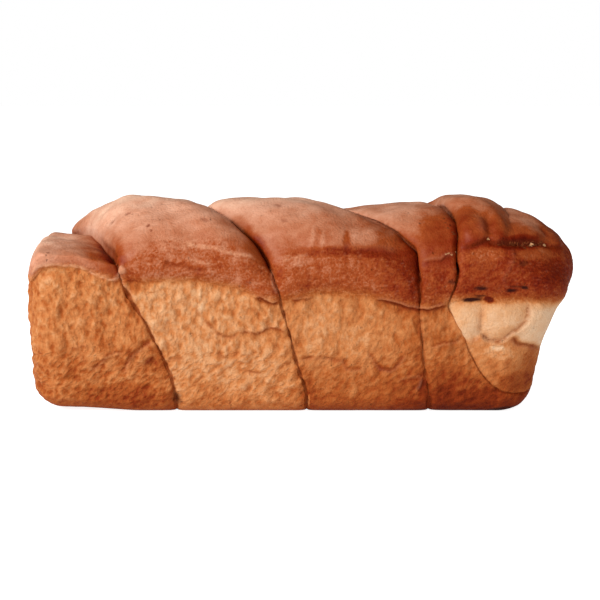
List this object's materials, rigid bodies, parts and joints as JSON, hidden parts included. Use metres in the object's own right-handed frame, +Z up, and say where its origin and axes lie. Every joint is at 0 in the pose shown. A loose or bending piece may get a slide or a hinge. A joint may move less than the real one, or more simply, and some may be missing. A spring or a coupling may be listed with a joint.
{
  "type": "twisted tin loaf",
  "caption": "Long bread loaf baked in an open tin, with twisted turns of dough swelling over the straight pressed walls.",
  "frame": {"origin": "centre of the flat bottom, on the surface that the loaf stands on", "axes": "+X along the loaf, towards the darker leaning end; +Z up; the front wall looks towards -Y"},
  "size_m": [0.3322, 0.1208, 0.1283],
  "materials": {
    "crust": "baked bread crust, satin brown on the dome and matt golden on the pressed walls"
  },
  "bodies": {
    "root": {"loaf": "crust"}
  },
  "joints": []
}
